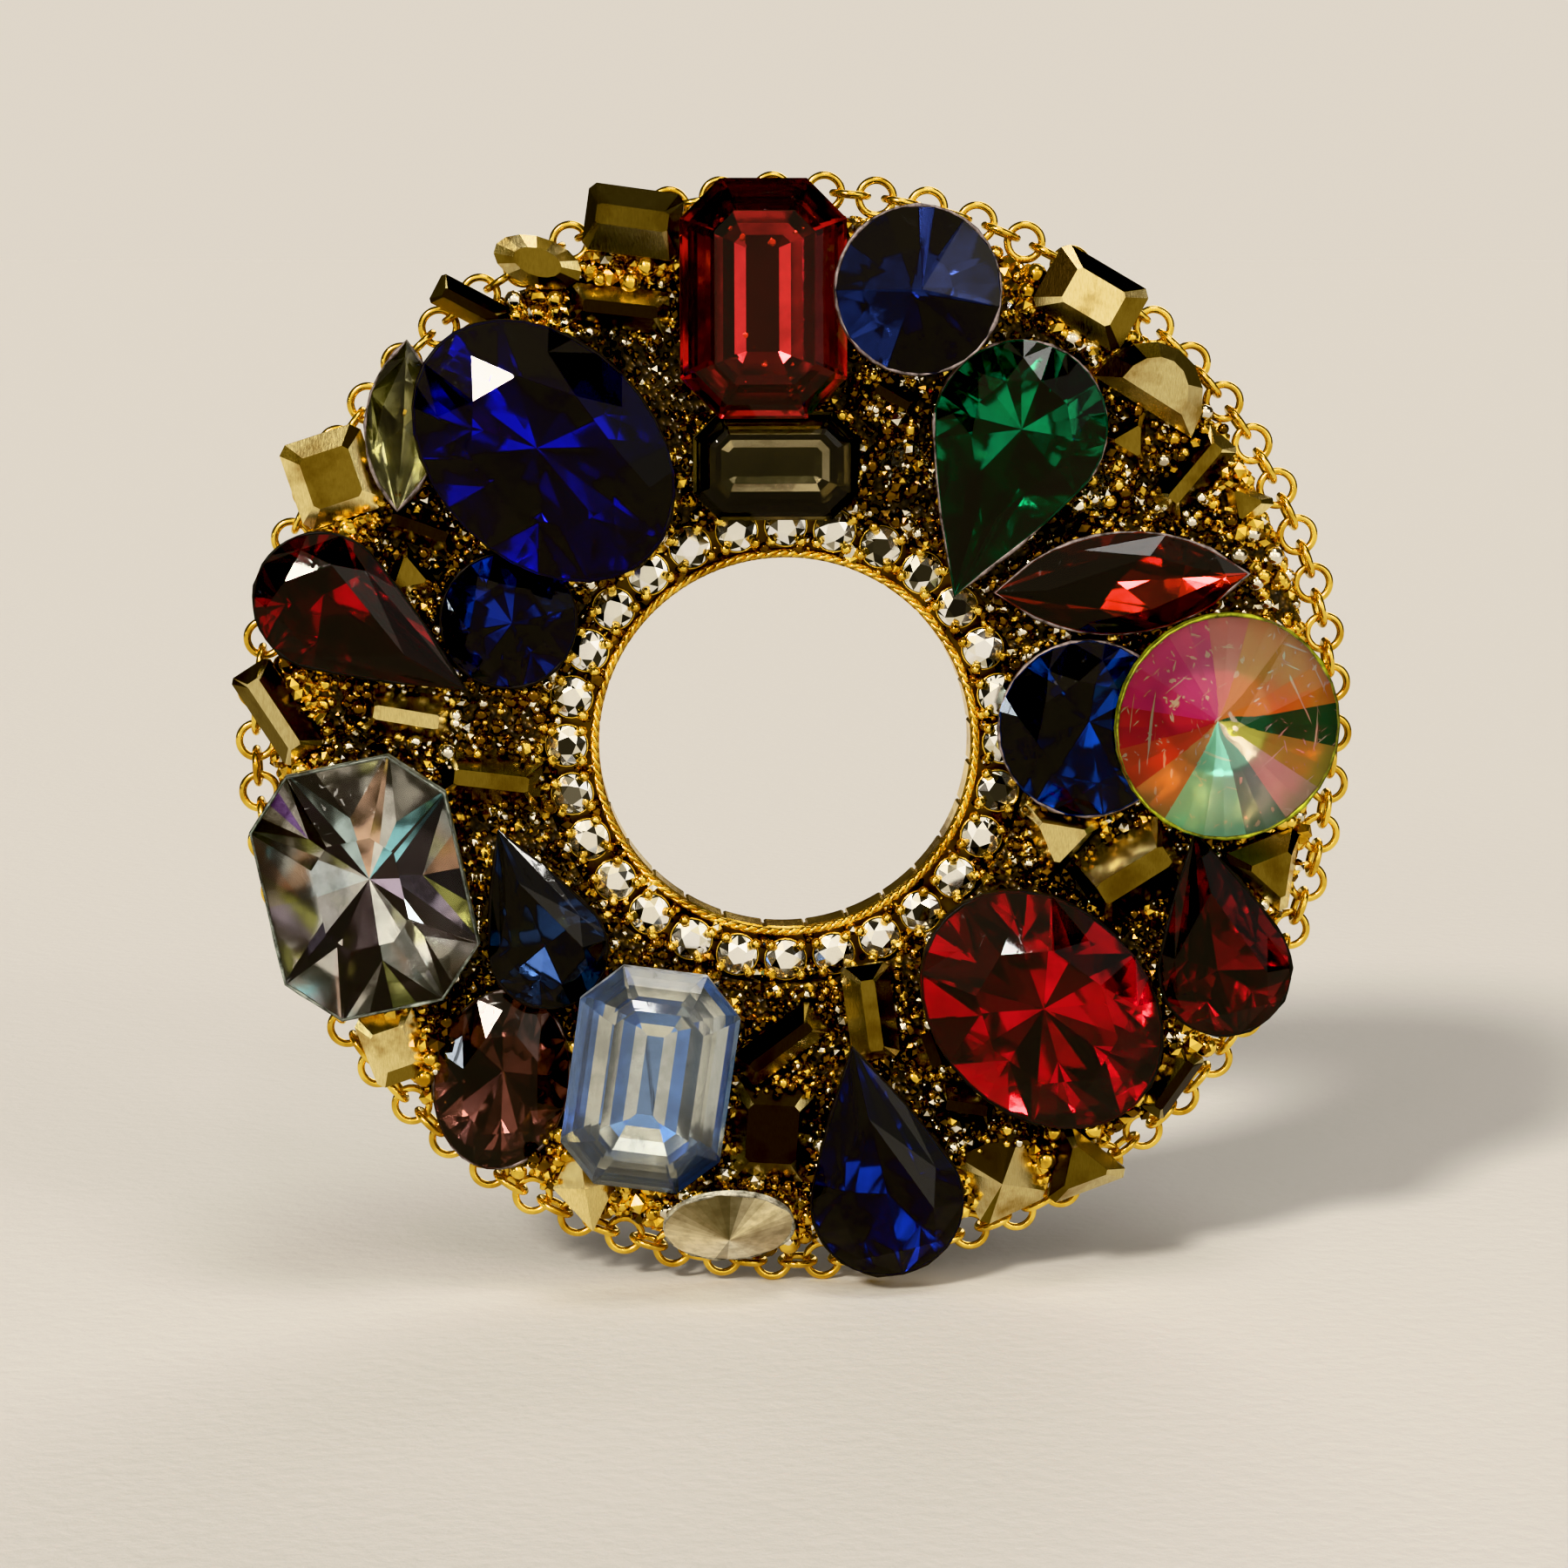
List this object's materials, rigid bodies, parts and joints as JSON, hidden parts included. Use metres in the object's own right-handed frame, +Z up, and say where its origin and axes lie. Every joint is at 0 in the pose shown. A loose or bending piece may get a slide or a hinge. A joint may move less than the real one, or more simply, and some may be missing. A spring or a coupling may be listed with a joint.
{
  "type": "ring brooch",
  "caption": "Round costume brooch with a central hole, covered with glued faceted glass stones and gold mirror chips, edged with chain, with a locking bar pin behind.",
  "frame": {"origin": "centre of the round hole, in the plane of the felt back", "axes": "+Y out of the back along the hole's axis, +Z up and +X right as seen from the front, as worn; the stones face -Y"},
  "size_m": [0.0676, 0.0132, 0.0674],
  "materials": {
    "brass_plate": "satin",
    "gold_plating": "polished",
    "pin_metal": "satin plated",
    "pin_wire": "polished",
    "felt": "pressed felt",
    "granule_glue": "clear glue full of gold granules",
    "gold_mirror": "gold mirror coating on faceted glass",
    "cobalt_glass": "faceted, foiled back",
    "pink_red_glass": "faceted, foiled back",
    "navy_glass": "faceted, foiled back",
    "emerald_glass": "faceted, foiled back",
    "orange_glass": "faceted, foiled back",
    "ab_glass": "faceted, foiled back",
    "sapphire_glass": "faceted, foiled back",
    "ruby_glass": "faceted, foiled back",
    "opal_glass": "faceted, foiled back",
    "purple_glass": "faceted, foiled back",
    "clear_glass": "faceted, foiled back",
    "pearl_glass": "faceted, foiled back"
  },
  "bodies": {
    "brooch": {"ab_rivoli": "ab_glass", "back_felt": "felt", "base_plate": "brass_plate", "blue_oval": "cobalt_glass", "blue_pear": "cobalt_glass", "catch_housing": "pin_metal", "crystal_baguette": "clear_glass", "crystal_chips": "clear_glass", "crystal_navette": "clear_glass", "crystal_octagon": "clear_glass", "cup_chain_cups": "gold_plating", "cup_chain_rhinestones": "clear_glass", "garnet_pear": "ruby_glass", "granule_bed": "granule_glue", "green_pear": "emerald_glass", "hinge_rivet": "pin_metal", "hole_collar": "gold_plating", "mirror_bar_bottom": "gold_mirror", "mirror_bar_inner_bottom": "gold_mirror", "mirror_bar_inner_left": "gold_mirror", "mirror_bar_left": "gold_mirror", "mirror_bar_lower_left": "gold_mirror", "mirror_bar_top": "gold_mirror", "mirror_bar_upper_right": "gold_mirror", "mirror_diamond_bottom": "gold_mirror", "mirror_half_moon": "gold_mirror", "mirror_oval_top": "gold_mirror", "mirror_square_bottom": "gold_mirror", "mirror_square_left": "gold_mirror", "mirror_square_lower_left": "gold_mirror", "mirror_square_lower_right": "gold_mirror", "mirror_square_right": "gold_mirror", "mirror_square_top": "gold_mirror", "mirror_square_upper_right": "gold_mirror", "mirror_trilliant_inner_right": "gold_mirror", "mirror_trilliant_lower_right": "gold_mirror", "mirror_trilliant_right": "gold_mirror", "navy_pear": "navy_glass", "navy_round": "navy_glass", "opal_octagon": "opal_glass", "orange_navette": "orange_glass", "pearl_round": "pearl_glass", "pin_bar": "pin_metal", "pink_octagon": "pink_red_glass", "purple_oval": "purple_glass", "red_oval": "ruby_glass", "rim_chain_flat_links": "gold_plating", "rim_chain_upright_links": "gold_plating", "ruby_pear": "ruby_glass", "sapphire_round": "sapphire_glass", "small_blue_round": "cobalt_glass", "small_mirror_bars": "gold_mirror", "small_mirror_trilliants": "gold_mirror"},
    "stem": {"pin_stem": "pin_wire"},
    "barrel": {"catch_barrel": "pin_metal"}
  },
  "joints": [
    {"name": "pin_hinge", "type": "hinge", "parent": "brooch", "child": "stem", "pos_m": [-0.014, 0.0016, 0.0195], "axis": [0, 0, 1], "range_deg": [0, 95]},
    {"name": "catch_turn", "type": "hinge", "parent": "brooch", "child": "barrel", "pos_m": [0.013, 0.0016, 0.0195], "axis": [1, 0, 0], "range_deg": [0, 150]}
  ]
}
